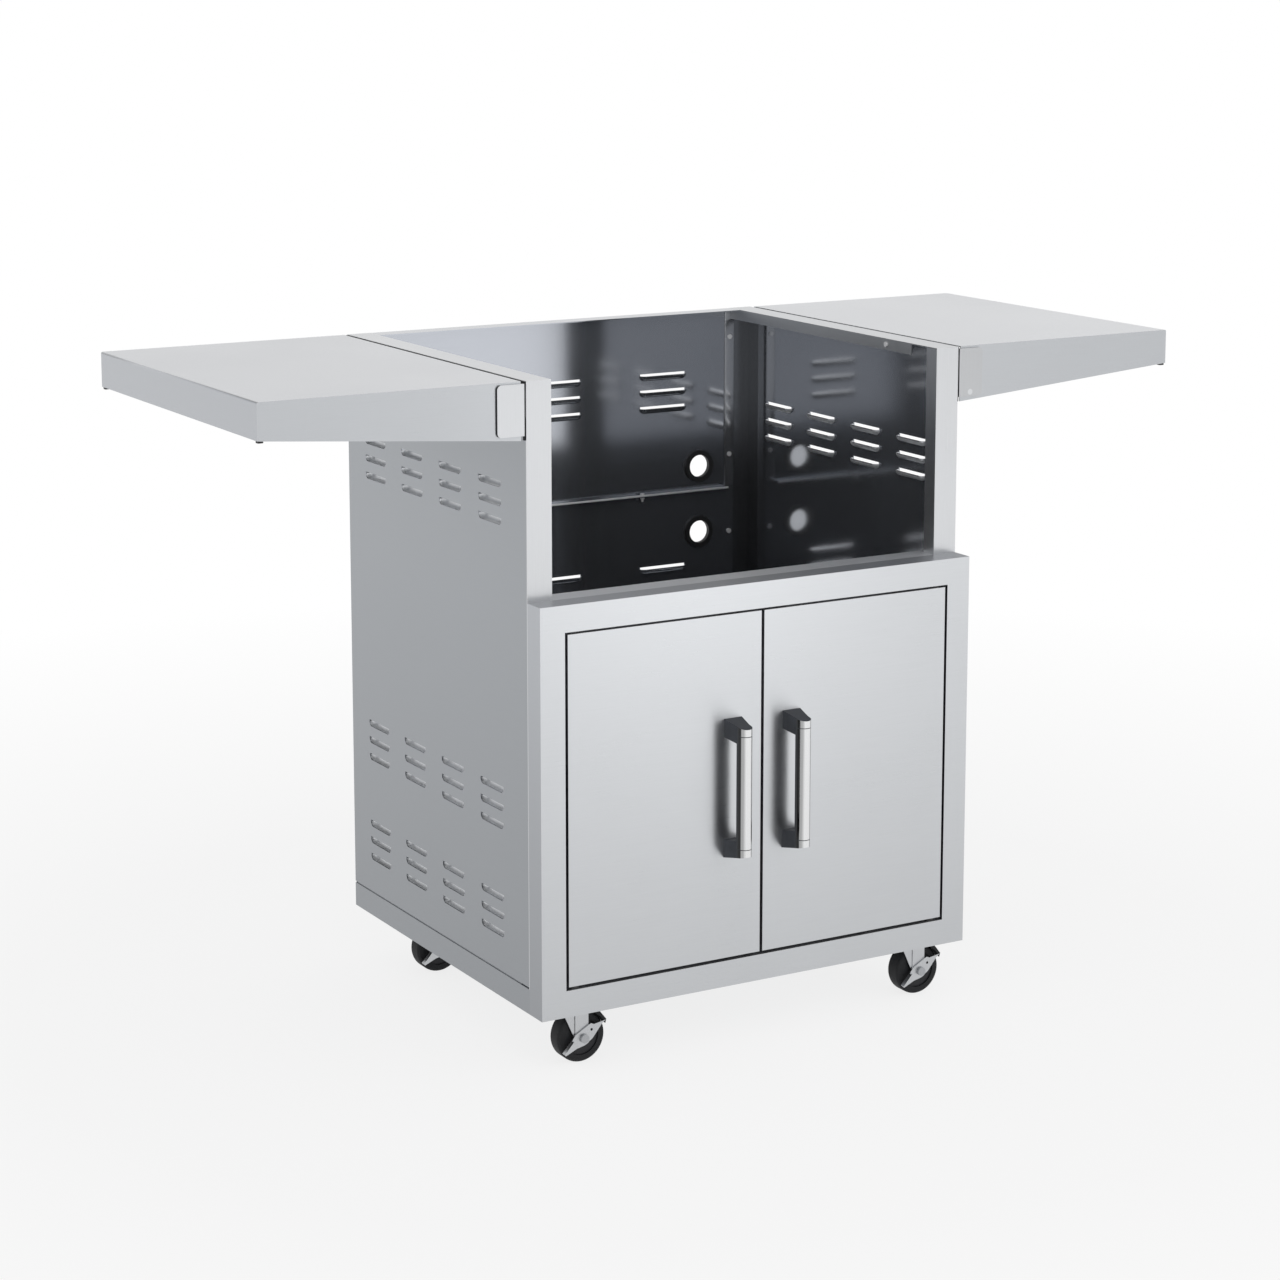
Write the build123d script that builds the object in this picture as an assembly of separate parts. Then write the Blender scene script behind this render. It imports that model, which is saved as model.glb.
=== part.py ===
"""Stainless grill cart: an open-topped cabinet for a drop-in grill head, with two doors,
two fold-down side shelves and four braked swivel casters.

Millimetres, +Z up, +X to the right seen from the front, +Y towards the back.
The origin is on the floor at the middle of the cart's bounding box.
"""
import os

from build123d import *

# Cabinet
CART_WIDTH = 670.0
CABINET_DEPTH = 574.0
CABINET_HEIGHT = 837.0
FLOOR_CLEARANCE = 77.0
SHEET = 1.5
POST_WIDTH = 36.0
POST_RETURN = 24.0
LEDGE_LIP_HEIGHT = 16.0
LEDGE_LIP_SETBACK = 60.0
REAR_POST_LEG = 30.0
REAR_POST_LAP = 45.0
SKIRT_HEIGHT = 34.0
SKIRT_GAP = 2.5
FLOOR_LIFT = 18.0
UPSTAND_HEIGHT = 36.0

# Rear panels
REAR_PANEL_MARGIN = 31.0
REAR_SEAM_HEIGHT = 564.0
SEAM_FLANGE = 14.0
REAR_RIM = 28.0
REAR_HEM = 15.0
HOSE_HOLE_RADIUS = 17.0
GROMMET_RIM = 7.0
GROMMET_THICKNESS = 4.0
GROMMET_WALL = 2.0
HOSE_HOLE_INSET = 61.0
UPPER_HOSE_RISE = 36.0
LOWER_HOSE_DROP = 65.0

# Louvres pressed into the panels: hoods on the inside, open at the top
LOUVRE_LENGTH = 68.0
REAR_LOUVRE_LENGTH = 80.0
LOUVRE_RADIUS = 8.0
LOUVRE_WALL = 1.2
LOUVRE_SLOT = 2.5
LOUVRE_PITCH = 24.7
LOUVRE_ROWS = 3
SIDE_LOUVRE_COLUMNS = 4
SIDE_LOUVRE_FRONT = 102.0
SIDE_LOUVRE_REAR = 89.0
UPPER_SIDE_LOUVRE_DROP = 141.0
MIDDLE_SIDE_LOUVRE_RISE = 288.0
LOWER_SIDE_LOUVRE_RISE = 140.0
REAR_LOUVRE_COLUMNS = 3
REAR_LOUVRE_SPACING = 180.0
UPPER_REAR_LOUVRE_DROP = 93.0
LOWER_REAR_LOUVRE_DROP = 114.0

# Door frame and top rail
FRAME_HEIGHT = 550.0
FRAME_DEPTH = 34.0
FRAME_BORDER = 36.0
FRAME_INNER_RETURN = 24.0
FRAME_BOTTOM_LIP = 12.0
RAIL_DEPTH = 34.0
RAIL_DROP = 25.0

# Doors
DOOR_THICKNESS = 18.0
DOOR_GAP = 4.0
DOOR_TOP_GAP = 3.0
DOOR_BOTTOM_GAP = 4.5
DOOR_MEETING_GAP = 4.5
HINGE_INSET = 12.0
HINGE_PIN_RADIUS = 4.0
HINGE_PIN_GRIP = 5.0
HINGE_PIN_FOOT = 14.0
BUSH_WALL = 2.5
BUSH_DEPTH = 8.0
MAGNET_WIDTH = 30.0
MAGNET_HEIGHT = 16.0
MAGNET_DEPTH = 12.0
MAGNET_GAP = 0.8
MAGNET_OFFSET = 35.0

# Handles
HANDLE_LENGTH = 174.0
HANDLE_CENTRE_HEIGHT = 275.5
HANDLE_OFFSET = 46.0
HANDLE_REACH = 40.0
HANDLE_BAR_WIDTH = 19.5
HANDLE_BAR_DEPTH = 12.0
HANDLE_SPINE_DEPTH = 3.0
HANDLE_POST_HEIGHT = 20.5
HANDLE_FOOT_HEIGHT = 25.0
HANDLE_FLARE = 8.0
HANDLE_FOOT_WIDTH = 27.5
HANDLE_SEAM_INSET = 10.0
HANDLE_SEAM_WIDTH = 1.0
HANDLE_SEAM_DEPTH = 0.8

# Fold-down side shelves
SHELF_LENGTH = 360.0
SHELF_GAP = 6.0
SHELF_INNER_SKIRT = 76.6
SHELF_OUTER_SKIRT = 47.8
SHELF_LIP = 10.0
SHELF_CORNER = 2.5
STIFFENER_WIDTH = 60.0
STIFFENER_HEIGHT = 18.0
BUMPER_SIZE = 7.0
BUMPER_HEIGHT = 16.0
BUMPER_DROP = 3.0
BRACKET_THICKNESS = 2.5
BRACKET_CLEARANCE = 0.5
BRACKET_REACH = 41.0
BRACKET_TOP_GAP = 3.0
BRACKET_EAR_HEIGHT = 67.0
BRACKET_EAR_CORNER = 6.0
BRACKET_WEB_HEIGHT = 36.0
BRACKET_WEB_DROP = 8.0
BRACKET_WEB_SETBACK = 1.5
SHELF_PIVOT_OUT = 21.0
SHELF_PIVOT_RISE = 12.6
PIVOT_RADIUS = 4.0
PIVOT_HEAD_RADIUS = 6.5
PIVOT_HEAD_THICKNESS = 2.5

# Casters
CASTER_INSET_X = 65.0
CASTER_FRONT_Y = 41.0
CASTER_REAR_Y = 462.0
CASTER_TRAIL = 9.0
WHEEL_RADIUS = 35.0
TYRE_WIDTH = 25.0
TYRE_ROUND = 4.5
HUB_RADIUS = 25.0
HUB_WIDTH = 21.0
HUB_BOSS_RADIUS = 9.0
AXLE_RADIUS = 4.0
AXLE_HEAD_RADIUS = 6.0
AXLE_HEAD_THICKNESS = 3.6
FORK_THICKNESS = 2.5
FORK_INNER_WIDTH = 29.0
FORK_TOP_LENGTH = 34.0
FORK_EYE_DROP = 8.0
FORK_STRIP_BACK = 12.0
FORK_STRIP_FRONT = 8.0
FORK_WING_REACH = 23.0
FORK_WING_DROP = 8.0
FORK_WING_STEP = 1.1
PLATE_SIZE = 56.0
PLATE_THICKNESS = 2.5
PLATE_HOLE_PITCH = 42.0
RACE_RADIUS = 17.0
RACE_HEIGHT = 2.6
KINGPIN_RADIUS = 5.0
KINGPIN_HEAD_RADIUS = 9.0
KINGPIN_HEAD_THICKNESS = 4.0
PLATE_BOLT_RADIUS = 3.0
PLATE_BOLT_HEAD_RADIUS = 4.6
PLATE_BOLT_HEAD_HEIGHT = 3.6
PLATE_NUT_HEIGHT = 5.0
LEVER_THICKNESS = 2.0
LEVER_EYE_RADIUS = 9.5
LEVER_TOE_FLANGE = 5.0
LEVER_HOLE_RADIUS = 1.8
LEVER_HOLE_PLACE = (11.4, 10.3)
# Outline of the brake lever about the axle, from the pedal's tip down to the toe and back
LEVER_OUTLINE = ((33.0, 20.0), (27.0, 15.5), (13.0, -2.0), (1.0, -10.0), (-10.5, -12.5), (-27.0, -20.0),
                 (-31.5, -16.0), (-18.0, -1.0), (-13.0, 6.0), (1.5, 14.0), (10.5, 19.0), (15.0, 17.0))

# Fits
RUNNING_CLEARANCE = 0.05
SEAT_GAP = 0.3
HOLE_CLEARANCE = 0.2

# Small screws
SCREW_RADIUS = 2.0
SCREW_HEAD_RADIUS = 3.6
SCREW_HEAD_HEIGHT = 1.8
SCREW_LENGTH = 9.0
LEDGE_SCREW_SETBACK = 122.0
REAR_SCREW_TOP_DROP = 43.0
REAR_SCREW_ABOVE_SEAM = 50.0
REAR_SCREW_BELOW_SEAM = 69.0
REAR_SCREW_FLOOR_RISE = 64.0
SEAM_BOLT_SPACING = 282.0

# Places that follow from the sizes above
FRONT = (HANDLE_REACH - CABINET_DEPTH) / 2
BACK = FRONT + CABINET_DEPTH
SIDE = CART_WIDTH / 2
SIDE_INNER = SIDE - SHEET
BOTTOM = FLOOR_CLEARANCE
TOP = FLOOR_CLEARANCE + CABINET_HEIGHT
TOP_UNDER = TOP - SHEET
FLOOR_UNDER = BOTTOM + FLOOR_LIFT
FLOOR_TOP = FLOOR_UNDER + SHEET
SKIRT_TOP = BOTTOM + SKIRT_HEIGHT
PANEL_BOTTOM = SKIRT_TOP + SKIRT_GAP
POST_FRONT = FRONT + FRAME_DEPTH
POST_BACK = POST_FRONT + SHEET
POST_INNER = SIDE - POST_WIDTH
REAR_FACE = BACK - 2 * SHEET
REAR_LAP = BACK - SHEET
REAR_PANEL_HALF = SIDE - REAR_PANEL_MARGIN
SEAM = BOTTOM + REAR_SEAM_HEIGHT
HOSE_HOLE_X = REAR_PANEL_HALF - HOSE_HOLE_INSET
UPPER_HOSE_Z = SEAM + UPPER_HOSE_RISE
LOWER_HOSE_Z = SEAM - LOWER_HOSE_DROP
SIDE_LOUVRE_TOPS = (TOP - UPPER_SIDE_LOUVRE_DROP, BOTTOM + MIDDLE_SIDE_LOUVRE_RISE,
                    BOTTOM + LOWER_SIDE_LOUVRE_RISE)
FRAME_TOP = BOTTOM + FRAME_HEIGHT
OPENING_HALF = SIDE - FRAME_BORDER
OPENING_BOTTOM = BOTTOM + FRAME_BORDER
OPENING_TOP = FRAME_TOP - FRAME_BORDER
DOOR_OUTER = OPENING_HALF - DOOR_GAP
DOOR_INNER = DOOR_MEETING_GAP / 2
DOOR_BOTTOM = OPENING_BOTTOM + DOOR_BOTTOM_GAP
DOOR_TOP = OPENING_TOP - DOOR_TOP_GAP
DOOR_BACK = FRONT + DOOR_THICKNESS
HINGE_X = DOOR_OUTER - HINGE_INSET
HINGE_Y = FRONT + DOOR_THICKNESS / 2
SHELF_INNER = SIDE + SHELF_GAP
SHELF_OUTER = SHELF_INNER + SHELF_LENGTH
SHELF_FRONT = POST_FRONT + BRACKET_THICKNESS + BRACKET_CLEARANCE
SHELF_BACK = BACK - BRACKET_THICKNESS - BRACKET_CLEARANCE
SHELF_PIVOT_X = SIDE + SHELF_PIVOT_OUT
SHELF_PIVOT_Z = TOP - SHELF_INNER_SKIRT + SHELF_PIVOT_RISE
BRACKET_TOP = TOP - BRACKET_TOP_GAP
CASTER_X = SIDE - CASTER_INSET_X
PLATE_BOTTOM = FLOOR_UNDER - PLATE_THICKNESS
FORK_TOP = PLATE_BOTTOM - RACE_HEIGHT - SEAT_GAP
FORK_PLATE_UNDER = FORK_TOP - FORK_THICKNESS
FORK_OUTER = FORK_INNER_WIDTH / 2 + FORK_THICKNESS


def block(x0, x1, y0, y1, z0, z1):
    """A box between two corners."""
    return Pos((x0 + x1) / 2, (y0 + y1) / 2, (z0 + z1) / 2) * Box(abs(x1 - x0), abs(y1 - y0), abs(z1 - z0))


def rod_x(radius, x0, x1, y, z):
    """A round bar along X."""
    return Pos((x0 + x1) / 2, y, z) * Rot(0, 90, 0) * Cylinder(radius, abs(x1 - x0))


def rod_y(radius, y0, y1, x, z):
    """A round bar along Y."""
    return Pos(x, (y0 + y1) / 2, z) * Rot(90, 0, 0) * Cylinder(radius, abs(y1 - y0))


def rod_z(radius, z0, z1, x, y):
    """An upright round bar."""
    return Pos(x, y, (z0 + z1) / 2) * Cylinder(radius, abs(z1 - z0))


def plate_xz(points, y0, y1):
    """A flat plate with its outline in the X-Z plane, from y0 back to y1."""
    outline = make_face(Polyline(*[(x, y0, z) for x, z in points], close=True))
    return extrude(outline, amount=y1 - y0, dir=(0, 1, 0))


def plate_yz(points, x0, x1):
    """A flat plate with its outline in the Y-Z plane, from x0 right to x1."""
    outline = make_face(Polyline(*[(x0, y, z) for y, z in points], close=True))
    return extrude(outline, amount=x1 - x0, dir=(1, 0, 0))


def save(name, *pieces):
    """Write one node; several pieces become separate solids of one node."""
    solids = [solid for piece in pieces for solid in piece.solids()]
    shape = solids[0] if len(solids) == 1 else Compound(children=solids)
    export_step(shape, f"parts/{name}.step")


def mirrored(piece):
    """The same piece on the other side of the cart."""
    return mirror(piece, about=Plane.YZ)


def save_pair(name, *pieces):
    """Write a left-hand node as built and its right-hand mirror image."""
    save("left_" + name, *pieces)
    save("right_" + name, *[mirrored(piece) for piece in pieces])


def spread(count, spacing):
    """Evenly spaced offsets about zero."""
    return [(index - (count - 1) / 2) * spacing for index in range(count)]


def louvre(length):
    """Hood and cut of one louvre, along X on a sheet whose inner face is y = 0 with the inside at -Y.

    The hood's free edge is at z = 0, and the slot above it is open.
    """
    straight = length - 2 * LOUVRE_RADIUS
    inner_radius = LOUVRE_RADIUS - LOUVRE_WALL
    shapes = []
    for radius in (LOUVRE_RADIUS, inner_radius):
        shape = Rot(0, 90, 0) * Cylinder(radius, straight)
        for end in (-1, 1):
            shape += Pos(end * straight / 2, 0, 0) * Sphere(radius)
        shapes.append(shape)
    reach = length
    keep = block(-reach, reach, -reach, 0, -reach, 0)
    hood = (shapes[0] - shapes[1]) & keep
    half = straight / 2
    round_end = SlotOverall(straight + 2 * inner_radius, 2 * inner_radius)
    lower = Rot(90, 0, 0) * extrude(round_end, amount=SHEET * 4, both=True)
    lower = lower & block(-reach, reach, -reach, reach, -reach, 0)
    slot = block(-half - inner_radius, half + inner_radius, -SHEET * 4, SHEET * 4, 0, LOUVRE_SLOT)
    return hood, (lower + slot) & block(-reach, reach, 0, reach, -reach, reach)


def louvred(sheet, length, places):
    """A sheet with a louvre at each place."""
    hood, cut = louvre(length)
    return (sheet - [place * cut for place in places]) + [place * hood for place in places]


def side_panel():
    """Left side sheet with its groups of louvres."""
    sheet = block(-SIDE, -SIDE_INNER, POST_BACK, BACK, PANEL_BOTTOM, TOP_UNDER)
    first = POST_BACK + SIDE_LOUVRE_FRONT
    step = (BACK - SIDE_LOUVRE_REAR - first) / (SIDE_LOUVRE_COLUMNS - 1)
    places = []
    for group_top in SIDE_LOUVRE_TOPS:
        for row in range(LOUVRE_ROWS):
            for column in range(SIDE_LOUVRE_COLUMNS):
                spot = (-SIDE_INNER, first + column * step, group_top - row * LOUVRE_PITCH)
                places.append(Pos(*spot) * Rot(0, 0, 90))
    return louvred(sheet, LOUVRE_LENGTH, places)


def rear_louvre_places(group_top):
    """Places of one group of rear louvres."""
    return [Pos(offset, REAR_FACE, group_top - row * LOUVRE_PITCH)
            for row in range(LOUVRE_ROWS) for offset in spread(REAR_LOUVRE_COLUMNS, REAR_LOUVRE_SPACING)]


def rear_panel(low, high, group_top, hose_z):
    """One rear sheet with hemmed sides, louvres and a hose hole; the seam flange is added by the caller."""
    sheet = block(-REAR_PANEL_HALF, REAR_PANEL_HALF, REAR_FACE, REAR_LAP, low, high)
    sheet = louvred(sheet, REAR_LOUVRE_LENGTH, rear_louvre_places(group_top))
    for end in (-1, 1):
        edge = end * REAR_PANEL_HALF
        sheet += block(edge, edge - end * REAR_HEM, REAR_FACE - SHEET, REAR_FACE, low, high)
    hole = HOSE_HOLE_RADIUS + GROMMET_WALL
    return sheet - rod_y(hole, REAR_FACE - SHEET, BACK, HOSE_HOLE_X, hose_z)


def seam_bolt_spots():
    """Places of the bolts that join the two rear sheets."""
    return [(offset, REAR_FACE - SEAM_FLANGE / 2) for offset in spread(2, SEAM_BOLT_SPACING)]


def rear_screw_spots():
    """Places of the screws that hold the rear sheets to the rear posts."""
    screw_x = REAR_PANEL_HALF - REAR_HEM / 2
    heights = (TOP - REAR_SCREW_TOP_DROP, SEAM + REAR_SCREW_ABOVE_SEAM, SEAM - REAR_SCREW_BELOW_SEAM,
               FLOOR_TOP + REAR_SCREW_FLOOR_RISE)
    return [(end * screw_x, height) for end in (-1, 1) for height in heights]


def rear_upper_panel():
    """Upper rear sheet with its rim at the top and its seam flange at the bottom."""
    panel = rear_panel(SEAM, TOP, TOP - UPPER_REAR_LOUVRE_DROP, UPPER_HOSE_Z)
    lip_face = POST_INNER
    panel += block(-lip_face, lip_face, REAR_FACE - REAR_RIM, REAR_LAP, TOP_UNDER, TOP)
    panel -= block(lip_face, SIDE, REAR_FACE - REAR_RIM, REAR_LAP, TOP_UNDER, TOP)
    panel -= block(-SIDE, -lip_face, REAR_FACE - REAR_RIM, REAR_LAP, TOP_UNDER, TOP)
    flange_half = REAR_PANEL_HALF - REAR_HEM
    panel += block(-flange_half, flange_half, REAR_FACE - SEAM_FLANGE, REAR_FACE, SEAM, SEAM + SHEET)
    for x, y in seam_bolt_spots():
        panel -= rod_z(SCREW_RADIUS, SEAM - SHEET, SEAM + 2 * SHEET, x, y)
    for x, z in rear_screw_spots():
        panel -= rod_y(SCREW_RADIUS, REAR_FACE - 2 * SHEET, BACK, x, z)
    return panel


def rear_lower_panel():
    """Lower rear sheet, standing on the cabinet floor."""
    panel = rear_panel(FLOOR_TOP, SEAM, SEAM - LOWER_REAR_LOUVRE_DROP, LOWER_HOSE_Z)
    flange_half = REAR_PANEL_HALF - REAR_HEM
    panel += block(-flange_half, flange_half, REAR_FACE - SEAM_FLANGE, REAR_FACE, SEAM - SHEET, SEAM)
    for x, y in seam_bolt_spots():
        panel -= rod_z(SCREW_RADIUS, SEAM - 2 * SHEET, SEAM + SHEET, x, y)
    for x, z in rear_screw_spots():
        panel -= rod_y(SCREW_RADIUS, REAR_FACE - 2 * SHEET, BACK, x, z)
    return panel


def grommet(z):
    """Rubber ring that lines a hose hole, with a rim on each face of the sheet."""
    rim = HOSE_HOLE_RADIUS + GROMMET_RIM
    ring = rod_y(rim, REAR_FACE - GROMMET_THICKNESS, REAR_FACE, HOSE_HOLE_X, z)
    ring += rod_y(HOSE_HOLE_RADIUS + GROMMET_WALL, REAR_FACE, REAR_LAP, HOSE_HOLE_X, z)
    ring += rod_y(rim, REAR_LAP, BACK, HOSE_HOLE_X, z)
    return ring - rod_y(HOSE_HOLE_RADIUS, REAR_FACE - 2 * GROMMET_THICKNESS, BACK + SHEET, HOSE_HOLE_X, z)


def rear_post():
    """Left rear corner angle behind the edges of the rear sheets."""
    post = block(-SIDE_INNER, -SIDE_INNER + REAR_POST_LAP, REAR_LAP, BACK, SKIRT_TOP, TOP_UNDER)
    leg_low = FLOOR_TOP + UPSTAND_HEIGHT
    post += block(-SIDE_INNER, -SIDE_INNER + SHEET, BACK - REAR_POST_LEG, REAR_LAP, leg_low, TOP_UNDER)
    for x, z in rear_screw_spots():
        post -= rod_y(SCREW_RADIUS, REAR_FACE - SHEET, BACK + SHEET, x, z)
    return post


def front_post():
    """Left front post: a wide face and a return into the cabinet."""
    post = block(-SIDE, -POST_INNER, POST_FRONT, POST_BACK, SKIRT_TOP, TOP_UNDER)
    edge = POST_FRONT + POST_RETURN
    return post + block(-POST_INNER - SHEET, -POST_INNER, POST_BACK, edge, SKIRT_TOP, TOP_UNDER)


def top_ledge():
    """Left top ledge with the drop lip that the grill head sits on."""
    ledge = block(-SIDE, -POST_INNER, POST_FRONT, BACK, TOP_UNDER, TOP)
    lip_start = POST_FRONT + LEDGE_LIP_SETBACK
    lip_low = TOP - LEDGE_LIP_HEIGHT
    ledge += block(-POST_INNER - SHEET, -POST_INNER, lip_start, REAR_FACE - SHEET, lip_low, TOP_UNDER)
    screw_y = POST_FRONT + LEDGE_SCREW_SETBACK
    return ledge - rod_x(SCREW_RADIUS, -SIDE, 0, screw_y, TOP - LEDGE_LIP_HEIGHT / 2)


def base_pan():
    """Floor tray with outer skirts and the upstands that the side sheets are fixed to."""
    pan = block(-SIDE_INNER, SIDE_INNER, FRONT + SHEET, REAR_LAP, FLOOR_UNDER, FLOOR_TOP)
    for end in (-1, 1):
        pan += block(end * SIDE, end * SIDE_INNER, POST_FRONT, BACK, BOTTOM, SKIRT_TOP)
        inner = end * (SIDE_INNER - SHEET)
        start = POST_FRONT + POST_RETURN + SHEET
        high = FLOOR_TOP + UPSTAND_HEIGHT
        pan += block(end * SIDE_INNER, inner, start, REAR_FACE, FLOOR_UNDER, high)
    pan += block(-SIDE_INNER, SIDE_INNER, REAR_LAP, BACK, BOTTOM, SKIRT_TOP)
    for spot_x, spot_y in plate_bolt_spots():
        hole = PLATE_BOLT_RADIUS + HOLE_CLEARANCE
        pan -= rod_z(hole, FLOOR_UNDER - SHEET, FLOOR_TOP + SHEET, spot_x, spot_y)
    return pan


def frame_ring(half_out, low_out, high_out, wall, y0, y1):
    """A rectangular sleeve of one sheet's thickness, inside the given outer size."""
    outer = block(-half_out, half_out, y0, y1, low_out, high_out)
    half_in = half_out - wall
    return outer - block(-half_in, half_in, y0 - wall, y1 + wall, low_out + wall, high_out - wall)


def door_frame():
    """Front frame: a flat border with outer returns, and inner returns round the door opening."""
    frame = block(-SIDE, SIDE, FRONT, FRONT + SHEET, BOTTOM, FRAME_TOP)
    frame += frame_ring(SIDE, BOTTOM, FRAME_TOP, SHEET, FRONT, POST_FRONT)
    frame -= block(-SIDE_INNER, SIDE_INNER, FRONT + FRAME_BOTTOM_LIP, POST_FRONT, BOTTOM, BOTTOM + SHEET)
    deep = FRONT + 2 * SHEET
    frame -= block(-OPENING_HALF, OPENING_HALF, FRONT - SHEET, deep, OPENING_BOTTOM, OPENING_TOP)
    inner = OPENING_HALF + SHEET
    back = FRONT + FRAME_INNER_RETURN
    frame += frame_ring(inner, OPENING_BOTTOM - SHEET, OPENING_TOP + SHEET, SHEET, FRONT, back)
    for end in (-1, 1):
        hole = HINGE_PIN_RADIUS + RUNNING_CLEARANCE + BUSH_WALL
        frame -= rod_z(hole, OPENING_BOTTOM - 2 * SHEET, OPENING_BOTTOM + SHEET, end * HINGE_X, HINGE_Y)
        frame -= rod_z(hole, OPENING_TOP - SHEET, OPENING_TOP + 2 * SHEET, end * HINGE_X, HINGE_Y)
    return frame


def top_rail():
    """Cross rail behind the top of the door frame, between the front posts."""
    rail = block(-POST_INNER, POST_INNER, POST_FRONT, POST_FRONT + RAIL_DEPTH, FRAME_TOP - SHEET, FRAME_TOP)
    back = POST_FRONT + RAIL_DEPTH
    return rail + block(-POST_INNER, POST_INNER, back - SHEET, back, FRAME_TOP - RAIL_DROP, FRAME_TOP)


def hinge_bushes():
    """Bushes in the frame that the door pins turn in, as wide as the gap beside the door allows."""
    bushes = []
    bore = HINGE_PIN_RADIUS + RUNNING_CLEARANCE
    spans = ((OPENING_BOTTOM - BUSH_DEPTH, DOOR_BOTTOM - SEAT_GAP),
             (DOOR_TOP + SEAT_GAP, OPENING_TOP + BUSH_DEPTH))
    for end in (-1, 1):
        for low, high in spans:
            bush = rod_z(bore + BUSH_WALL, low, high, end * HINGE_X, HINGE_Y)
            bushes.append(bush - rod_z(bore, low - SHEET, high + SHEET, end * HINGE_X, HINGE_Y))
    return bushes


def magnet_catches():
    """Magnets under the top of the opening that hold the doors shut."""
    front = DOOR_BACK + MAGNET_GAP
    catches = []
    for end in (-1, 1):
        middle = end * MAGNET_OFFSET
        near = middle - MAGNET_WIDTH / 2
        far = middle + MAGNET_WIDTH / 2
        low = OPENING_TOP - MAGNET_HEIGHT
        catches.append(block(near, far, front, front + MAGNET_DEPTH, low, OPENING_TOP))
    return catches


def hinge_pin_hole(low, high):
    """Clearance for the left door's pins in a door sheet."""
    return rod_z(HINGE_PIN_RADIUS + HOLE_CLEARANCE, low, high, -HINGE_X, HINGE_Y)


def door_skin():
    """Left door's outer pan."""
    skin = block(-DOOR_OUTER, -DOOR_INNER, FRONT, DOOR_BACK, DOOR_BOTTOM, DOOR_TOP)
    skin -= block(-DOOR_OUTER + SHEET, -DOOR_INNER - SHEET, FRONT + SHEET, DOOR_BACK, DOOR_BOTTOM + SHEET,
                  DOOR_TOP - SHEET)
    skin -= hinge_pin_hole(DOOR_BOTTOM - SHEET, DOOR_BOTTOM + 2 * SHEET)
    return skin - hinge_pin_hole(DOOR_TOP - 2 * SHEET, DOOR_TOP + SHEET)


def door_liner():
    """Left door's inner sheet, set inside the outer pan."""
    low = DOOR_BOTTOM + SHEET
    high = DOOR_TOP - SHEET
    return block(-DOOR_OUTER + SHEET, -DOOR_INNER - SHEET, DOOR_BACK - SHEET, DOOR_BACK, low, high)


def hinge_pins():
    """Left door's two pins, each with a foot inside the door."""
    pins = []
    for edge, away in ((DOOR_BOTTOM, -1), (DOOR_TOP, 1)):
        gap = DOOR_BOTTOM_GAP if away < 0 else DOOR_TOP_GAP
        seat = edge - away * SHEET
        tip = edge + away * (gap + BUSH_DEPTH)
        half = HINGE_PIN_FOOT / 2
        pin = rod_z(HINGE_PIN_RADIUS, seat, tip, -HINGE_X, HINGE_Y)
        pin += block(-HINGE_X - half, -HINGE_X + half, FRONT + SHEET, DOOR_BACK - SHEET, seat,
                     seat - away * HINGE_PIN_GRIP)
        pins.append(pin)
    return pins


def handle_section(depth_from, depth_to, radius):
    """Plan outline of the half-round bar between two distances from the door."""
    half = HANDLE_BAR_WIDTH / 2
    left = -HANDLE_OFFSET - half
    right = -HANDLE_OFFSET + half
    near = FRONT - depth_from
    bulge = FRONT - depth_to
    shoulder = bulge + radius
    outline = Polyline((left, shoulder), (left, near), (right, near), (right, shoulder))
    return make_face(outline + ThreePointArc((right, shoulder), (-HANDLE_OFFSET, bulge), (left, shoulder)))


def handle_envelope():
    """Left handle's side outline: the ends slope in from the wide foot to the front of the bar."""
    low = BOTTOM + HANDLE_CENTRE_HEIGHT - HANDLE_LENGTH / 2
    high = low + HANDLE_LENGTH
    outline = [(FRONT, low - HANDLE_FLARE), (FRONT - HANDLE_REACH, low), (FRONT - HANDLE_REACH, high),
               (FRONT, high + HANDLE_FLARE)]
    return plate_yz(outline, -2 * HANDLE_OFFSET, 0)


def handle_bar():
    """Left handle's bright half-round bar, with a fine groove near each end."""
    back = HANDLE_REACH - HANDLE_BAR_DEPTH
    radius = HANDLE_BAR_WIDTH / 2
    low = BOTTOM + HANDLE_CENTRE_HEIGHT - HANDLE_LENGTH / 2
    section = handle_section(back, HANDLE_REACH, radius)
    bar = Pos(0, 0, low - HANDLE_FLARE) * extrude(section, amount=HANDLE_LENGTH + 2 * HANDLE_FLARE)
    core = handle_section(back, HANDLE_REACH - HANDLE_SEAM_DEPTH, radius)
    for seam in (HANDLE_SEAM_INSET, HANDLE_LENGTH - HANDLE_SEAM_INSET):
        base = Pos(0, 0, low + seam - HANDLE_SEAM_WIDTH / 2)
        collar = base * extrude(section, amount=HANDLE_SEAM_WIDTH)
        bar -= collar - base * extrude(core, amount=HANDLE_SEAM_WIDTH)
    return bar & handle_envelope()


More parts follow.
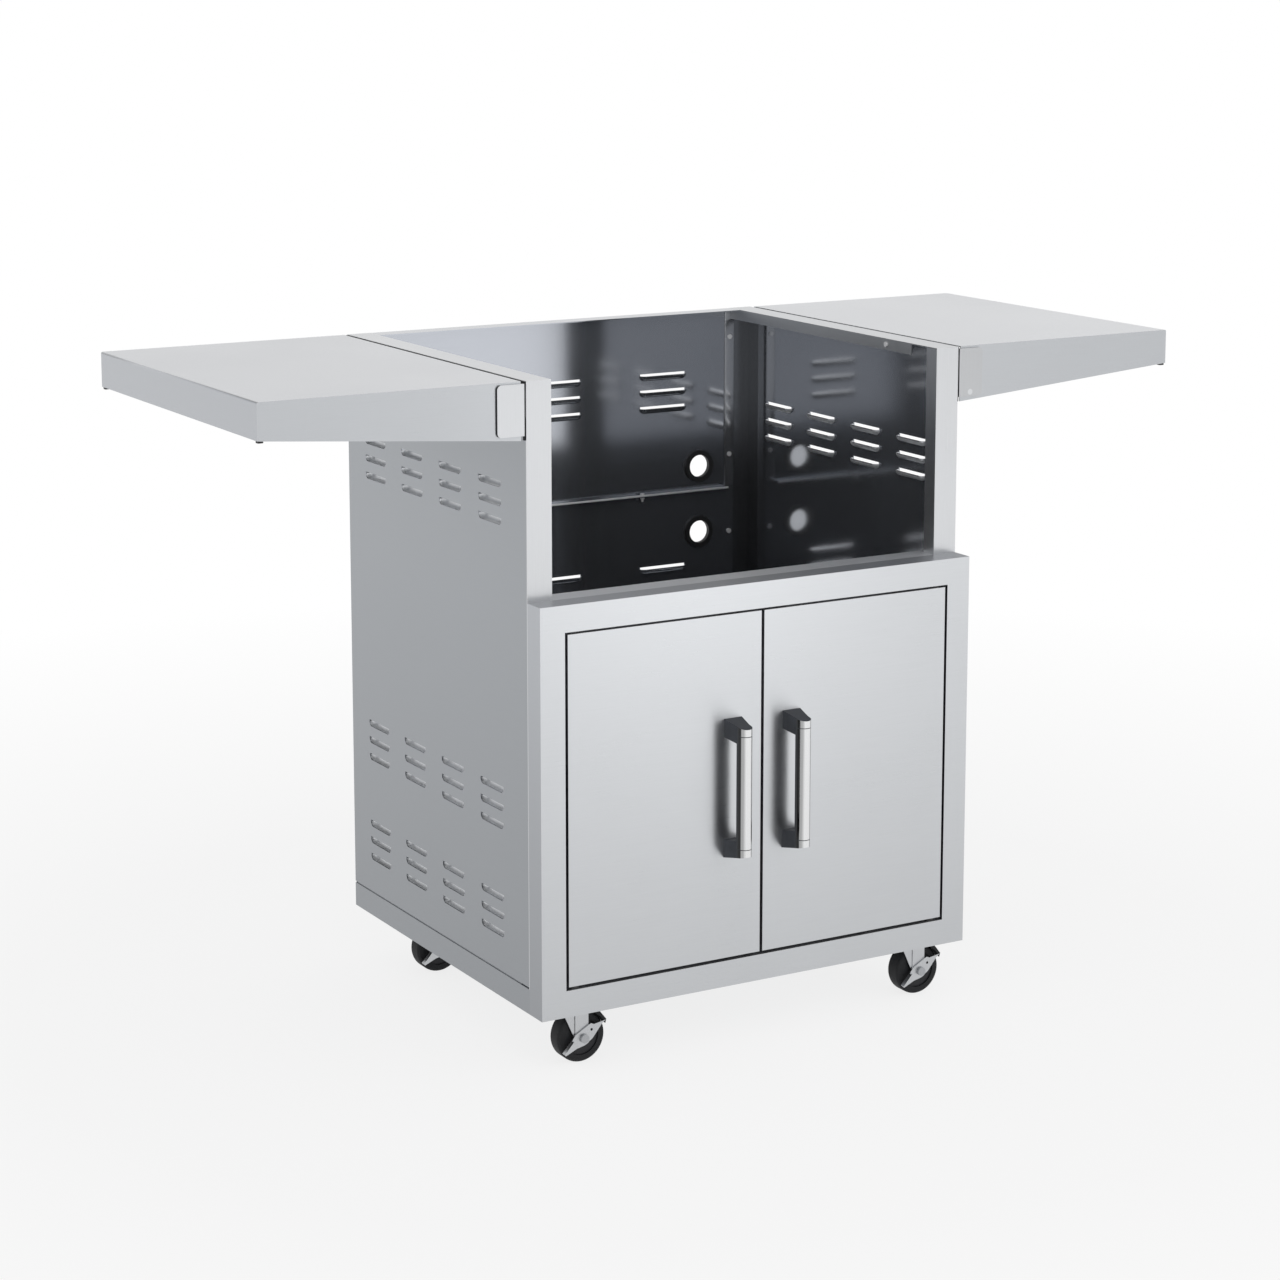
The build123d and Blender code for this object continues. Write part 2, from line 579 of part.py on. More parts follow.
def handle_body():
    """Left handle's dark casting: a spine behind the bar and a post that flares to its foot at each end."""
    back = HANDLE_REACH - HANDLE_BAR_DEPTH
    low = BOTTOM + HANDLE_CENTRE_HEIGHT - HANDLE_LENGTH / 2
    high = low + HANDLE_LENGTH
    foot_low = low - HANDLE_FLARE
    foot_high = high + HANDLE_FLARE
    half_bar = HANDLE_BAR_WIDTH / 2
    half_foot = HANDLE_FOOT_WIDTH / 2
    spine_near = FRONT - back + HANDLE_SPINE_DEPTH
    plan = make_face(Polyline((-HANDLE_OFFSET - half_foot, FRONT), (-HANDLE_OFFSET + half_foot, FRONT),
                              (-HANDLE_OFFSET + half_bar, spine_near),
                              (-HANDLE_OFFSET - half_bar, spine_near), close=True))
    posts = Pos(0, 0, foot_low) * extrude(plan, amount=foot_high - foot_low)
    grip = [(FRONT, foot_low + HANDLE_FOOT_HEIGHT), (spine_near, low + HANDLE_POST_HEIGHT),
            (spine_near, high - HANDLE_POST_HEIGHT), (FRONT, foot_high - HANDLE_FOOT_HEIGHT)]
    posts -= plate_yz(grip, -2 * HANDLE_OFFSET, 0)
    spine = block(-HANDLE_OFFSET - half_bar, -HANDLE_OFFSET + half_bar, FRONT - back, spine_near,
                  foot_low, foot_high)
    return (posts + spine) & handle_envelope()


def shelf_profile(inset):
    """Side outline of the left shelf, drawn in by an inset below its top."""
    inner_low = TOP - SHELF_INNER_SKIRT
    outer_low = TOP - SHELF_OUTER_SKIRT
    outer = -SHELF_OUTER + inset
    high = TOP - inset
    return [(-SHELF_INNER, inner_low), (-SHELF_INNER, high), (outer, high), (outer, outer_low)]


def shelf_pan():
    """Left shelf: a folded tray whose front and rear skirts taper towards the free end."""
    pan = plate_xz(shelf_profile(0.0), SHELF_FRONT, SHELF_BACK)
    corner = [edge for edge in pan.edges().filter_by(Axis.Y) if edge.center().Z > TOP - SHEET
              and edge.center().X < -SHELF_INNER - SHEET]
    pan = fillet(corner, SHELF_CORNER)
    hollow = plate_xz([(x + SHEET * (x == -SHELF_INNER), z - SHEET * (z < TOP - SHEET)) for x, z in
                       shelf_profile(SHEET)], SHELF_FRONT + SHEET, SHELF_BACK - SHEET)
    pan -= hollow
    lip_low = TOP - SHELF_OUTER_SKIRT
    lip_edge = -SHELF_OUTER + SHELF_LIP
    front = SHELF_FRONT + SHEET
    pan += block(-SHELF_OUTER + SHEET, lip_edge, front, SHELF_BACK - SHEET, lip_low, lip_low + SHEET)
    for y in (SHELF_FRONT, SHELF_BACK):
        hole = PIVOT_RADIUS + RUNNING_CLEARANCE
        pan -= rod_y(hole, y - 2 * SHEET, y + 2 * SHEET, -SHELF_PIVOT_X, SHELF_PIVOT_Z)
    for spot in bumper_spots():
        pan -= spot
    return pan


def bumper_spots():
    """Space of the two rubber bumpers in the left shelf's outer corners."""
    low = TOP - SHELF_OUTER_SKIRT - BUMPER_DROP
    x0 = -SHELF_OUTER + SHEET
    spots = []
    for edge, inward in ((SHELF_FRONT + SHEET, 1), (SHELF_BACK - SHEET, -1)):
        deep = edge + inward * BUMPER_SIZE
        spots.append(block(x0, x0 + BUMPER_SIZE, edge, deep, low, low + BUMPER_HEIGHT))
    return spots


def shelf_stiffener():
    """Hat-section rib under the left shelf, from its front skirt to its rear one."""
    middle = -SHELF_INNER - SHELF_LENGTH / 2
    half = STIFFENER_WIDTH / 2
    y0 = SHELF_FRONT + SHEET
    y1 = SHELF_BACK - SHEET
    under = TOP - SHEET
    rib = block(middle - half, middle + half, y0, y1, under - STIFFENER_HEIGHT, under)
    low = under - STIFFENER_HEIGHT + SHEET
    return rib - block(middle - half + SHEET, middle + half - SHEET, y0, y1, low, under)


def shelf_bracket():
    """Left shelf's bracket: a strap on the side sheet with an ear outside each skirt."""
    web_x = -SIDE - BRACKET_THICKNESS
    outer = -SIDE - BRACKET_REACH
    web_top = BRACKET_TOP - BRACKET_WEB_DROP
    web_front = POST_FRONT + BRACKET_WEB_SETBACK
    web_back = BACK - BRACKET_WEB_SETBACK
    bracket = block(web_x, -SIDE, web_front, web_back, web_top - BRACKET_WEB_HEIGHT, web_top)
    for y0, y1 in ((POST_FRONT, POST_FRONT + BRACKET_THICKNESS), (BACK - BRACKET_THICKNESS, BACK)):
        ear = block(outer, web_x, y0, y1, BRACKET_TOP - BRACKET_EAR_HEIGHT, BRACKET_TOP)
        corners = [edge for edge in ear.edges().filter_by(Axis.Y) if edge.center().X < ear.center().X]
        bracket += fillet(corners, BRACKET_EAR_CORNER)
        bracket -= rod_y(PIVOT_RADIUS, y0 - SHEET, y1 + SHEET, -SHELF_PIVOT_X, SHELF_PIVOT_Z)
    return bracket


def shelf_pivot_pins():
    """Pins fixed in the left bracket's ears, each with a retaining head inside the skirt."""
    pins = []
    for outside, inward in ((POST_FRONT, 1), (BACK, -1)):
        skirt = SHELF_FRONT if inward > 0 else SHELF_BACK
        head = skirt + inward * (SHEET + SEAT_GAP)
        end = head + inward * PIVOT_HEAD_THICKNESS
        pin = rod_y(PIVOT_RADIUS, outside, end, -SHELF_PIVOT_X, SHELF_PIVOT_Z)
        pins.append(pin + rod_y(PIVOT_HEAD_RADIUS, head, end, -SHELF_PIVOT_X, SHELF_PIVOT_Z))
    return pins


def caster_spots():
    """Names and swivel axes of the four casters."""
    return {
        "front_left": (-CASTER_X, FRONT + CASTER_FRONT_Y),
        "front_right": (CASTER_X, FRONT + CASTER_FRONT_Y),
        "rear_left": (-CASTER_X, FRONT + CASTER_REAR_Y),
        "rear_right": (CASTER_X, FRONT + CASTER_REAR_Y),
    }


def plate_bolt_spots():
    """Places of every bolt that holds a caster plate to the floor."""
    half = PLATE_HOLE_PITCH / 2
    corners = [(dx, dy) for dx in (-half, half) for dy in (-half, half)]
    return [(x + dx, y + dy) for x, y in caster_spots().values() for dx, dy in corners]


def caster_plates():
    """Top plates with the raised race that the fork turns under."""
    plates = []
    half = PLATE_SIZE / 2
    for x, y in caster_spots().values():
        plate = block(x - half, x + half, y - half, y + half, PLATE_BOTTOM, FLOOR_UNDER)
        plate += rod_z(RACE_RADIUS, PLATE_BOTTOM - RACE_HEIGHT, PLATE_BOTTOM, x, y)
        plate -= rod_z(KINGPIN_RADIUS, FORK_TOP, FLOOR_TOP, x, y)
        for bolt_x, bolt_y in plate_bolt_spots():
            hole = PLATE_BOLT_RADIUS + HOLE_CLEARANCE
            plate -= rod_z(hole, PLATE_BOTTOM - SHEET, FLOOR_UNDER + SHEET, bolt_x, bolt_y)
        plates.append(plate)
    return plates


def kingpins():
    """Rivets that hang the forks from the top plates."""
    pins = []
    head_top = FORK_PLATE_UNDER - SEAT_GAP
    for x, y in caster_spots().values():
        pin = rod_z(KINGPIN_RADIUS, head_top, FLOOR_UNDER, x, y)
        pins.append(pin + rod_z(KINGPIN_HEAD_RADIUS, head_top - KINGPIN_HEAD_THICKNESS, head_top, x, y))
    return pins


def plate_bolts():
    """Bolts through the caster plates and the floor, with their nuts."""
    bolts = []
    for x, y in plate_bolt_spots():
        tip = FLOOR_TOP + PLATE_NUT_HEIGHT
        bolt = rod_z(PLATE_BOLT_RADIUS, PLATE_BOTTOM, tip, x, y)
        bolt += rod_z(PLATE_BOLT_HEAD_RADIUS, PLATE_BOTTOM - PLATE_BOLT_HEAD_HEIGHT, PLATE_BOTTOM, x, y)
        nut = extrude(RegularPolygon(PLATE_BOLT_HEAD_RADIUS, 6), amount=PLATE_NUT_HEIGHT)
        bolts.append(bolt + Pos(x, y, FLOOR_TOP) * nut)
    return bolts


def caster_fork():
    """Fork about its swivel axis: a top plate and two legs, each a strip with a tapering wing."""
    half = FORK_TOP_LENGTH / 2
    fork = block(-half, half, -FORK_OUTER, FORK_OUTER, FORK_PLATE_UNDER, FORK_TOP)
    fork -= rod_z(KINGPIN_RADIUS + RUNNING_CLEARANCE, FORK_PLATE_UNDER - SHEET, FORK_TOP + SHEET, 0, 0)
    strip_left = CASTER_TRAIL - FORK_STRIP_BACK
    strip_right = CASTER_TRAIL + FORK_STRIP_FRONT
    low = WHEEL_RADIUS - FORK_EYE_DROP
    strip = [(strip_left, FORK_TOP), (half, FORK_TOP), (strip_right, FORK_PLATE_UNDER - FORK_WING_DROP),
             (strip_right, low), (strip_left, low)]
    wing = [(strip_left, FORK_TOP), (-half, FORK_TOP),
            (-FORK_WING_REACH, FORK_PLATE_UNDER - FORK_WING_DROP), (strip_left, WHEEL_RADIUS)]
    for side in (-1, 1):
        inner = side * FORK_INNER_WIDTH / 2
        outer = side * FORK_OUTER
        wing_outer = outer - side * FORK_WING_STEP
        fork += plate_xz(strip, min(inner, outer), max(inner, outer))
        fork += plate_xz(wing, min(inner, wing_outer), max(inner, wing_outer))
    return fork - rod_y(AXLE_RADIUS, -2 * FORK_OUTER, 2 * FORK_OUTER, CASTER_TRAIL, WHEEL_RADIUS)


def caster_axle():
    """Axle bolt with a round head outside the brake lever and a nut on the far side."""
    lever_face = -FORK_OUTER - 2 * SEAT_GAP - LEVER_THICKNESS
    head_end = lever_face - AXLE_HEAD_THICKNESS
    nut_end = FORK_OUTER + AXLE_HEAD_THICKNESS
    axle = rod_y(AXLE_RADIUS, head_end, nut_end, CASTER_TRAIL, WHEEL_RADIUS)
    axle += rod_y(AXLE_HEAD_RADIUS, head_end, lever_face, CASTER_TRAIL, WHEEL_RADIUS)
    return axle + rod_y(AXLE_HEAD_RADIUS, FORK_OUTER, nut_end, CASTER_TRAIL, WHEEL_RADIUS)


def caster_hub():
    """Wheel centre: a disc with a boss on each side, bored to turn on the axle."""
    boss_half = FORK_INNER_WIDTH / 2 - SEAT_GAP
    hub = rod_y(HUB_RADIUS, -HUB_WIDTH / 2, HUB_WIDTH / 2, CASTER_TRAIL, WHEEL_RADIUS)
    hub += rod_y(HUB_BOSS_RADIUS, -boss_half, boss_half, CASTER_TRAIL, WHEEL_RADIUS)
    bore = AXLE_RADIUS + RUNNING_CLEARANCE
    return hub - rod_y(bore, -FORK_OUTER, FORK_OUTER, CASTER_TRAIL, WHEEL_RADIUS)


def caster_tyre():
    """Rubber tyre with rounded shoulders, moulded round the hub."""
    tyre = rod_y(WHEEL_RADIUS, -TYRE_WIDTH / 2, TYRE_WIDTH / 2, CASTER_TRAIL, WHEEL_RADIUS)
    tyre = fillet(tyre.edges().filter_by(GeomType.CIRCLE), TYRE_ROUND)
    return tyre - rod_y(HUB_RADIUS, -TYRE_WIDTH, TYRE_WIDTH, CASTER_TRAIL, WHEEL_RADIUS)


def caster_lever():
    """Stamped brake rocker on the axle, with a turned-out tab along its pedal and a flange on its toe."""
    near = -FORK_OUTER - SEAT_GAP
    face = near - LEVER_THICKNESS
    outline = [(CASTER_TRAIL + x, WHEEL_RADIUS + z) for x, z in LEVER_OUTLINE]
    lever = plate_xz(outline, face, near) + rod_y(LEVER_EYE_RADIUS, face, near, CASTER_TRAIL, WHEEL_RADIUS)
    toe_mid, toe_high = outline[6:8]
    shift = LEVER_THICKNESS
    flange = [toe_mid, toe_high, (toe_high[0] + shift, toe_high[1]), (toe_mid[0] + shift, toe_mid[1])]
    lever += plate_xz(flange, face - LEVER_TOE_FLANGE, near)
    hole_x, hole_z = LEVER_HOLE_PLACE
    low = face - SHEET
    high = near + SHEET
    lever -= rod_y(LEVER_HOLE_RADIUS, low, high, CASTER_TRAIL + hole_x, WHEEL_RADIUS + hole_z)
    return lever - rod_y(AXLE_RADIUS + RUNNING_CLEARANCE, low, high, CASTER_TRAIL, WHEEL_RADIUS)


def rear_screws():
    """Screws through the rear sheets' hems into the rear posts."""
    face = REAR_FACE - SHEET
    screws = []
    for x, z in rear_screw_spots():
        screw = rod_y(SCREW_RADIUS, face, BACK, x, z)
        screws.append(screw + rod_y(SCREW_HEAD_RADIUS, face - SCREW_HEAD_HEIGHT, face, x, z))
    return screws


def seam_bolts():
    """Upright bolts that clamp the two seam flanges together."""
    bolts = []
    for x, y in seam_bolt_spots():
        bolt = rod_z(SCREW_RADIUS, SEAM - SCREW_LENGTH, SEAM + SHEET, x, y)
        bolt += rod_z(SCREW_HEAD_RADIUS, SEAM + SHEET, SEAM + SHEET + SCREW_HEAD_HEIGHT, x, y)
        nut_low = SEAM - SHEET - 2 * SCREW_HEAD_HEIGHT
        bolts.append(bolt + rod_z(SCREW_HEAD_RADIUS, nut_low, SEAM - SHEET, x, y))
    return bolts


def ledge_screws():
    """Screws through the ledges' drop lips that steady the grill head."""
    y = POST_FRONT + LEDGE_SCREW_SETBACK
    z = TOP - LEDGE_LIP_HEIGHT / 2
    face = -POST_INNER
    screw = rod_x(SCREW_RADIUS, face - SCREW_LENGTH, face, y, z)
    screw += rod_x(SCREW_HEAD_RADIUS, face, face + SCREW_HEAD_HEIGHT, y, z)
    return [screw, mirrored(screw)]


def main():
    os.makedirs("parts", exist_ok=True)
    save("base_pan", base_pan())
    save_pair("side_panel", side_panel())
    save_pair("front_post", front_post())
    save_pair("rear_post", rear_post())
    save_pair("top_ledge", top_ledge())
    save("rear_upper_panel", rear_upper_panel())
    save("rear_lower_panel", rear_lower_panel())
    save("hose_grommets", grommet(UPPER_HOSE_Z), grommet(LOWER_HOSE_Z))
    save("front_door_frame", door_frame())
    save("front_top_rail", top_rail())
    save("door_hinge_bushes", *hinge_bushes())
    save("door_magnet_catches", *magnet_catches())
    save("panel_screws", *rear_screws(), *ledge_screws())
    save("rear_seam_bolts", *seam_bolts())
    save_pair("door_skin", door_skin())
    save_pair("door_liner", door_liner())
    save_pair("door_hinge_pins", *hinge_pins())
    save_pair("handle_bar", handle_bar())
    save_pair("handle_body", handle_body())
    save_pair("shelf_bracket", shelf_bracket())
    pins = shelf_pivot_pins()
    save("shelf_pivot_pins", *pins, *[mirrored(pin) for pin in pins])
    save_pair("shelf_pan", shelf_pan())
    save_pair("shelf_stiffener", shelf_stiffener())
    save_pair("shelf_bumpers", *bumper_spots())
    save("caster_top_plates", *caster_plates())
    save("caster_kingpins", *kingpins())
    save("caster_plate_bolts", *plate_bolts())
    pieces = {"fork": caster_fork(), "axle": caster_axle(), "hub": caster_hub(), "tyre": caster_tyre(),
              "brake_lever": caster_lever()}
    for corner, (x, y) in caster_spots().items():
        for name, piece in pieces.items():
            save(f"{corner}_caster_{name}", Pos(x, y, 0) * piece)


main()
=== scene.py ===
"""Grill cart: finishes, small trim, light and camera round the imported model, in metres."""
import math

import bmesh
import bpy
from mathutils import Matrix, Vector


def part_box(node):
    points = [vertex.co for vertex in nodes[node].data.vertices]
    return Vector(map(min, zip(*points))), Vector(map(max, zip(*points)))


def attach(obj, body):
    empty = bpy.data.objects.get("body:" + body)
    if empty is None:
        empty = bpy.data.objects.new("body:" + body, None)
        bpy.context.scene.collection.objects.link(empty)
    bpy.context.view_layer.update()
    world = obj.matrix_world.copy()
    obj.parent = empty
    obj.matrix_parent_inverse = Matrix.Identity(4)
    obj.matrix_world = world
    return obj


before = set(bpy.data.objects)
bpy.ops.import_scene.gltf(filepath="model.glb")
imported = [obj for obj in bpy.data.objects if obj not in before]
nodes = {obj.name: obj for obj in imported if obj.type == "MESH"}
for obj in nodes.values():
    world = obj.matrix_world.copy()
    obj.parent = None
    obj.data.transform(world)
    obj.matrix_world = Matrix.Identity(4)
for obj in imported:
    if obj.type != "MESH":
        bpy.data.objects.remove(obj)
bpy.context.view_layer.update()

# Camera, fitted to corners of the photograph: angles in degrees, lens and sensor in millimetres.
CAMERA_PLACE = (-2.1439, -3.6569, 1.4676)
CAMERA_YAW = 29.98
CAMERA_PITCH = -9.614
CAMERA_LENS = 87.0
CAMERA_SHIFT_Y = -0.14
CAMERA_CLIP_END = 200.0
SENSOR_WIDTH = 36.0

# Lamps: name, place, the point that it faces, size and watts.
LAMPS = (
    ("key", (0.95, -2.1, 1.75), (-0.1, -0.27, 0.5), (2.2, 1.3), 5.0),
    ("card", (1.22, -2.6, 0.36), (-0.1, 0.3, 0.8), (0.62, 0.62), 0.95),
)
SKY_HEIGHTS = (0.3, 0.8)
SKY_STRENGTHS = (1.0, 0.45)
WHITE = (1.0, 1.0, 1.0, 1.0)
FLOOR_GREY = (0.9, 0.9, 0.9, 1.0)
FLOOR_ROUGH = 0.9
FLOOR_RADIUS = 40.0
FLOOR_SEGMENTS = 96
FLOOR_FADE_RADII = (0.9, 2.6)
FLOOR_FADE_SHARES = (0.8, 1.0)

# Tones of the sheet steel's faces: the front, post and inner greys are the steel's own; the side, edge
# and skirt greys are darker copies as painted shade, the shelf grey a paler copy as painted light, and
# the right bracket's tone painted shade.
SATIN_WHITE = (0.65, 0.665, 0.685, 1.0)
SIDE_PAINTED_SHADE_GREY = (0.345, 0.36, 0.38, 1.0)
EDGE_PAINTED_SHADE_GREY = (0.45, 0.465, 0.49, 1.0)
SKIRT_PAINTED_SHADE_GREY = (0.505, 0.52, 0.54, 1.0)
INNER_GREY = (0.34, 0.355, 0.385, 1.0)
SHELF_TOP_PAINTED_LIGHT_GREY = (0.75, 0.76, 0.78, 1.0)
POST_GREY = (0.615, 0.625, 0.64, 1.0)
RIGHT_BRACKET_PAINTED_SHADE = 0.8

# Textures: noise scales, shares of each noise, and heights of the bumps.
ALONG = {"x": (7.0, 520.0, 520.0), "y": (520.0, 7.0, 520.0), "z": (520.0, 520.0, 7.0)}
EVEN = (1.0, 1.0, 1.0)
SCRATCH_SCALE = 3.0
SCRATCH_SHARE = 0.7
SCRATCH_HEIGHT = 0.0004
CLOUD_SCALE = 5.0
CLOUD_SHARE = 0.3
# Heights between which the painted shade towards the bottom fades out.
PAINTED_SHADE_HEIGHTS = (0.08, 0.62)
GRAIN_SCALE = 420.0
GRAIN_BUMP = 0.12
GRAIN_HEIGHT = 0.0003
PATCH_SCALE = 24.0
PATCH_SPREAD = 0.08
PATCH_TONES = (0.8, 1.35)
STREAK_STRETCH = (420.0, 420.0, 2.0)
STREAK_SHARE = 0.35
STREAK_SPREAD = 0.05
STREAK_BUMP = 0.04
# Painted reflection on the handle bar: greyer and then dark as its normal leans sideways.
BAR_PAINTED_GREY_SPAN = (0.55, 0.85)
BAR_PAINTED_GREY_TONE = 0.5
BAR_PAINTED_DARK_SPAN = (0.86, 0.92)
BAR_PAINTED_DARK_TONE = 0.07

# Choice of faces: how far a face's normal has to point along a direction.
RIGHTWARD = (1, 0, 0)
LEFTWARD = (-1, 0, 0)
BACKWARD = (0, 1, 0)
FORWARD = (0, -1, 0)
UPWARD = (0, 0, 1)
DOWNWARD = (0, 0, -1)
SLIGHTLY = 0.05
PARTLY = 0.3
MAINLY = 0.5
PRESSED_LEAN = (0.02, 0.99)
EAR_CORNER = 0.006
HANDLE_SEAM = 0.077
HANDLE_SEAM_HALF = 0.0007

# Rounded folds of the shelf trays.
FOLD_WIDTH = 0.0005
FOLD_SEGMENTS = 2
FOLD_ANGLE = 50
WELD_DISTANCE = 0.00002

# Trim on the rear sheets: folded hems at the ends and the rolled edge of the seam, coloured paler as
# painted highlight.
TRIM_EDGE = 0.0006
TRIM_SEGMENTS = 3
TRIM_PROFILE = 0.5
SHEET = 0.0015
HEM_DEPTH = 0.0021
HEM_WIDTH = 0.0156
HEM_OVERHANG = 0.0006
HEM_END_INSET = 0.002
SEAM_FLANGE = 0.0140
ROLL_FRONT = 0.0007
ROLL_BACK = 0.0016
ROLL_DROP = 0.0006
ROLL_RISE = 0.0022
ROLL_END_INSET = 0.0155

# Brake shoes: outer corners from the axle, the angles along the tread, and the lap on the lever.
PEDAL_CORNERS = ((0.0345, 0.0205), (0.0210, 0.0375))
PEDAL_TURNS = (60, 50, 40, 31, 24)
PEDAL_CLEARANCE = 0.0010
PEDAL_LAP = 0.0010
PEDAL_EDGE = 0.0004

# Black strips of painted shadow in the slots beside the shelves.
SHADOW_STRIP_NEAR = 0.0001
SHADOW_STRIP_FAR = 0.0024
SHADOW_STRIP_END_INSET = 0.0013
SHADOW_STRIP_LEG = 0.0040
SHADOW_STRIP_DROP = 0.0180
SHADOW_STRIP_TOP_INSET = 0.0008
SHADOW_STRIP_FOOT_RISE = 0.0005
SHADOW_STRIP_EDGE = 0.0003

CASTERS = ("front_left", "front_right", "rear_left", "rear_right")
SIDES = (("left", -1), ("right", 1))


class Graph:
    """Small helper that adds nodes to a material and links them."""

    def __init__(self, name):
        self.material = bpy.data.materials.new(name)
        self.material.use_nodes = True
        self.tree = self.material.node_tree
        self.shader = self.tree.nodes["Principled BSDF"]

    def add(self, kind, **settings):
        """Adds a node with its settings."""
        node = self.tree.nodes.new(kind)
        for key, value in settings.items():
            setattr(node, key, value)
        return node

    def link(self, source, target):
        """Links one socket to another."""
        self.tree.links.new(source, target)

    def coords(self):
        """The object's own coordinates."""
        return self.add("ShaderNodeTexCoord").outputs["Object"]

    def noise(self, vector, scale, stretch=EVEN, detail=3.0, rough=0.55):
        """Noise in the object's own place, stretched by a factor along each axis."""
        mapping = self.add("ShaderNodeMapping")
        mapping.inputs["Scale"].default_value = stretch
        self.link(vector, mapping.inputs["Vector"])
        texture = self.add("ShaderNodeTexNoise")
        texture.inputs["Scale"].default_value = scale
        texture.inputs["Detail"].default_value = detail
        texture.inputs["Roughness"].default_value = rough
        self.link(mapping.outputs["Vector"], texture.inputs["Vector"])
        return texture.outputs["Fac"]

    def span(self, value, low, high, start=0.3, end=0.7):
        """Maps a value between start and end onto low to high."""
        node = self.add("ShaderNodeMapRange")
        node.inputs["From Min"].default_value = start
        node.inputs["From Max"].default_value = end
        node.inputs["To Min"].default_value = low
        node.inputs["To Max"].default_value = high
        self.link(value, node.inputs["Value"])
        return node.outputs["Result"]

    def tint(self, factor, first, second):
        """Blends two colours by a factor; the first may also be a socket."""
        node = self.add("ShaderNodeMix", data_type="RGBA")
        if isinstance(first, tuple):
            node.inputs["A"].default_value = first
        else:
            self.link(first, node.inputs["A"])
        node.inputs["B"].default_value = second
        self.link(factor, node.inputs["Factor"])
        return node.outputs["Result"]

    def maths(self, operation, first, second):
        """Works out one operation on two numbers or sockets."""
        node = self.add("ShaderNodeMath", operation=operation)
        for socket, value in zip(node.inputs, (first, second)):
            if isinstance(value, (int, float)):
                socket.default_value = value
            else:
                self.link(value, socket)
        return node.outputs["Value"]

    def bump(self, height, strength, distance):
        """Gives the shader a bump."""
        node = self.add("ShaderNodeBump")
        node.inputs["Strength"].default_value = strength
        node.inputs["Distance"].default_value = distance
        self.link(height, node.inputs["Height"])
        self.link(node.outputs["Normal"], self.shader.inputs["Normal"])


def shade(colour, factor):
    """A colour made darker or paler by a factor."""
    return tuple(min(1.0, part * factor) for part in colour[:3]) + (1.0,)


def brushed(name, colour, rough, along, contrast=0.05, bump=0.05, anisotropy=0.7, spread=0.05,
            metallic=1.0, painted_bottom_shade=1.0):
    """Brushed sheet steel: fine scratches along one axis over a slow cloudy variation, and painted shade
    that darkens it towards the bottom when given.
    """
    graph = Graph(name)
    graph.shader.inputs["Anisotropic"].default_value = anisotropy
    tangent = graph.add("ShaderNodeTangent", direction_type="RADIAL", axis=along.upper())
    graph.link(tangent.outputs["Tangent"], graph.shader.inputs["Tangent"])
    vector = graph.coords()
    fine = graph.noise(vector, SCRATCH_SCALE, ALONG[along], 4.0, 0.65)
    broad = graph.noise(vector, CLOUD_SCALE, EVEN, 2.0)
    both = graph.maths("ADD", graph.maths("MULTIPLY", fine, SCRATCH_SHARE),
                       graph.maths("MULTIPLY", broad, CLOUD_SHARE))
    colours = graph.tint(graph.span(both, 0.0, 1.0), shade(colour, 1 - contrast),
                         shade(colour, 1 + contrast))
    # Painted shade: below 0.62 m the colour darkens towards the bottom.
    if painted_bottom_shade < 1.0:
        axes = graph.add("ShaderNodeSeparateXYZ")
        graph.link(vector, axes.inputs["Vector"])
        scale = graph.add("ShaderNodeVectorMath", operation="SCALE")
        graph.link(colours, scale.inputs[0])
        graph.link(graph.span(axes.outputs["Z"], painted_bottom_shade, 1.0, *PAINTED_SHADE_HEIGHTS), scale.inputs["Scale"])
        colours = scale.outputs["Vector"]
    graph.link(colours, graph.shader.inputs["Base Color"])
    graph.link(graph.span(both, rough - spread, rough + spread), graph.shader.inputs["Roughness"])
    graph.shader.inputs["Metallic"].default_value = metallic
    graph.bump(fine, bump, SCRATCH_HEIGHT)
    return graph.material


def moulded(name, colour, rough, gloss=0.5):
    """Moulded or cast surface: a fine grain with slightly worn, paler patches."""
    graph = Graph(name)
    vector = graph.coords()
    grain = graph.noise(vector, GRAIN_SCALE, detail=4.0)
    patch = graph.noise(vector, PATCH_SCALE)
    tones = [shade(colour, tone) for tone in PATCH_TONES]
    graph.link(graph.tint(graph.span(patch, 0.0, 1.0), *tones), graph.shader.inputs["Base Color"])
    roughness = graph.span(patch, rough - PATCH_SPREAD, rough + PATCH_SPREAD)
    graph.link(roughness, graph.shader.inputs["Roughness"])
    graph.shader.inputs["Metallic"].default_value = 0.0
    graph.shader.inputs["Specular IOR Level"].default_value = gloss
    graph.bump(grain, GRAIN_BUMP, GRAIN_HEIGHT)
    return graph.material


def half_round(name, colour, rough):
    """Polished half-round bar with a painted reflection: bright along its crown, greyer and then dark
    towards its long edges.
    """
    graph = Graph(name)
    coords = graph.add("ShaderNodeTexCoord")
    axes = graph.add("ShaderNodeSeparateXYZ")
    graph.link(coords.outputs["Normal"], axes.inputs["Vector"])
    lean = graph.maths("ABSOLUTE", axes.outputs["X"], 0.0)
    streak = graph.noise(coords.outputs["Object"], SCRATCH_SCALE, STREAK_STRETCH, 3.0, 0.6)
    wavy = graph.maths("ADD", lean, graph.maths("MULTIPLY", streak, STREAK_SHARE))
    grey = graph.tint(graph.span(wavy, 0.0, 1.0, *BAR_PAINTED_GREY_SPAN), colour, shade(colour, BAR_PAINTED_GREY_TONE))
    dark = graph.tint(graph.span(lean, 0.0, 1.0, *BAR_PAINTED_DARK_SPAN), grey, shade(colour, BAR_PAINTED_DARK_TONE))
    graph.link(dark, graph.shader.inputs["Base Color"])
    roughness = graph.span(streak, rough - STREAK_SPREAD, rough + STREAK_SPREAD)
    graph.link(roughness, graph.shader.inputs["Roughness"])
    graph.shader.inputs["Metallic"].default_value = 1.0
    graph.bump(streak, STREAK_BUMP, GRAIN_HEIGHT)
    return graph.material
